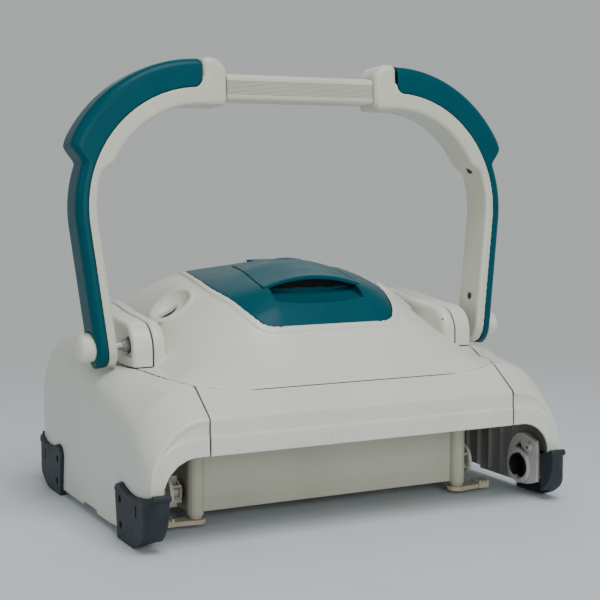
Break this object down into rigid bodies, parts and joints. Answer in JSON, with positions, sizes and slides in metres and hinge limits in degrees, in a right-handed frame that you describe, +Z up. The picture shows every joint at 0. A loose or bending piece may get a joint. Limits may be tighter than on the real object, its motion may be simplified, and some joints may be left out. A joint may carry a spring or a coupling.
{
  "type": "pool cleaner",
  "caption": "Robotic pool cleaner body with a domed top and outlet lid, corner bumpers, open brush bays and a tall swinging carry handle.",
  "frame": {"origin": "centre of the bounding box in plan, at floor level under the corner bumpers", "axes": "-Y to the front, +X to the right of a person facing the front, +Z up"},
  "size_m": [0.45, 0.316, 0.4142],
  "materials": {
    "white_shell": "warm off-white moulded plastic, semi-gloss",
    "cream_plastic": "aged cream moulded plastic",
    "grey_plastic": "grey moulded plastic",
    "teal_plastic": "deep petrol teal plastic, satin",
    "slate_rubber": "dark slate bumper rubber",
    "beige_plastic": "discoloured beige plastic",
    "filter_plastic": "pale filter mesh on a moulded frame",
    "black_plastic": "black moulded plastic",
    "steel": "stainless steel"
  },
  "bodies": {
    "body": {"chassis": "cream_plastic", "bottom_tray": "cream_plastic", "filter_basket": "filter_plastic", "pump_motor": "black_plastic", "front_beam": "white_shell", "rear_beam": "white_shell", "dome": "white_shell", "outlet_cover": "teal_plastic", "lid_pin": "steel", "side_cover_right": "white_shell", "side_cover_left": "white_shell", "pivot_rail_right": "white_shell", "pivot_rail_left": "white_shell", "pivot_pin_right": "steel", "pivot_pin_left": "steel", "bearing_plate_front_right": "grey_plastic", "bearing_plate_front_left": "grey_plastic", "bearing_plate_rear_right": "grey_plastic", "bearing_plate_rear_left": "grey_plastic", "bumper_front_right": "slate_rubber", "bumper_front_left": "slate_rubber", "bumper_rear_right": "slate_rubber", "bumper_rear_left": "slate_rubber", "bumper_screw_upper_front_right": "steel", "bumper_screw_upper_front_left": "steel", "bumper_screw_upper_rear_right": "steel", "bumper_screw_upper_rear_left": "steel", "bumper_screw_lower_front_right": "steel", "bumper_screw_lower_front_left": "steel", "bumper_screw_lower_rear_right": "steel", "bumper_screw_lower_rear_left": "steel"},
    "handle": {"handle_grip": "white_shell", "handle_shell_right": "white_shell", "handle_shell_left": "white_shell", "handle_cover_right": "teal_plastic", "handle_cover_left": "teal_plastic", "handle_screw_upper_right": "steel", "handle_screw_upper_left": "steel", "handle_screw_lower_right": "steel", "handle_screw_lower_left": "steel"},
    "right_knob": {"knob_right": "white_shell"},
    "left_knob": {"knob_left": "white_shell"},
    "lid": {"outlet_lid": "teal_plastic"},
    "pump_impeller": {"impeller": "cream_plastic"},
    "front_flap": {"inlet_flap_front": "black_plastic"},
    "rear_flap": {"inlet_flap_rear": "black_plastic"},
    "hub_front_right": {"wheel_hub_front_right": "grey_plastic"},
    "hub_front_left": {"wheel_hub_front_left": "grey_plastic"},
    "hub_rear_right": {"wheel_hub_rear_right": "grey_plastic"},
    "hub_rear_left": {"wheel_hub_rear_left": "grey_plastic"},
    "latch_front_right": {"tray_latch_front_right": "beige_plastic"},
    "latch_front_left": {"tray_latch_front_left": "beige_plastic"},
    "latch_rear_right": {"tray_latch_rear_right": "beige_plastic"},
    "latch_rear_left": {"tray_latch_rear_left": "beige_plastic"}
  },
  "joints": [
    {"name": "handle_swing", "type": "hinge", "parent": "body", "child": "handle", "pos_m": [0, -0.014, 0.155], "axis": [1, 0, 0], "range_deg": [-80, 100]},
    {"name": "knob_turn_right", "type": "hinge", "parent": "handle", "child": "right_knob", "pos_m": [0.21, -0.014, 0.155], "axis": [1, 0, 0], "continuous": true},
    {"name": "knob_turn_left", "type": "hinge", "parent": "handle", "child": "left_knob", "pos_m": [-0.21, -0.014, 0.155], "axis": [1, 0, 0], "continuous": true},
    {"name": "lid_hinge", "type": "hinge", "parent": "body", "child": "lid", "pos_m": [0, 0.05, 0.22168], "axis": [-1, 0, 0], "range_deg": [0, 100]},
    {"name": "impeller_spin", "type": "hinge", "parent": "body", "child": "pump_impeller", "pos_m": [0, 0, 0.155], "axis": [0, 0, 1], "continuous": true},
    {"name": "front_flap_hinge", "type": "hinge", "parent": "body", "child": "front_flap", "pos_m": [0, -0.051, 0.0206], "axis": [1, 0, 0], "range_deg": [0, 80]},
    {"name": "rear_flap_hinge", "type": "hinge", "parent": "body", "child": "rear_flap", "pos_m": [0, 0.051, 0.0206], "axis": [-1, 0, 0], "range_deg": [0, 80]},
    {"name": "hub_spin_front_right", "type": "hinge", "parent": "body", "child": "hub_front_right", "pos_m": [0.15, -0.058, 0.028], "axis": [1, 0, 0], "continuous": true},
    {"name": "hub_spin_front_left", "type": "hinge", "parent": "body", "child": "hub_front_left", "pos_m": [-0.15, -0.058, 0.028], "axis": [1, 0, 0], "continuous": true},
    {"name": "hub_spin_rear_right", "type": "hinge", "parent": "body", "child": "hub_rear_right", "pos_m": [0.15, 0.058, 0.028], "axis": [1, 0, 0], "continuous": true},
    {"name": "hub_spin_rear_left", "type": "hinge", "parent": "body", "child": "hub_rear_left", "pos_m": [-0.15, 0.058, 0.028], "axis": [1, 0, 0], "continuous": true},
    {"name": "latch_turn_front_right", "type": "hinge", "parent": "body", "child": "latch_front_right", "pos_m": [0.137, -0.078, 0.006], "axis": [0, 0, -1], "range_deg": [0, 90]},
    {"name": "latch_turn_front_left", "type": "hinge", "parent": "body", "child": "latch_front_left", "pos_m": [-0.137, -0.078, 0.006], "axis": [0, 0, 1], "range_deg": [0, 90]},
    {"name": "latch_turn_rear_right", "type": "hinge", "parent": "body", "child": "latch_rear_right", "pos_m": [0.137, 0.078, 0.006], "axis": [0, 0, 1], "range_deg": [0, 90]},
    {"name": "latch_turn_rear_left", "type": "hinge", "parent": "body", "child": "latch_rear_left", "pos_m": [-0.137, 0.078, 0.006], "axis": [0, 0, -1], "range_deg": [0, 90]}
  ]
}
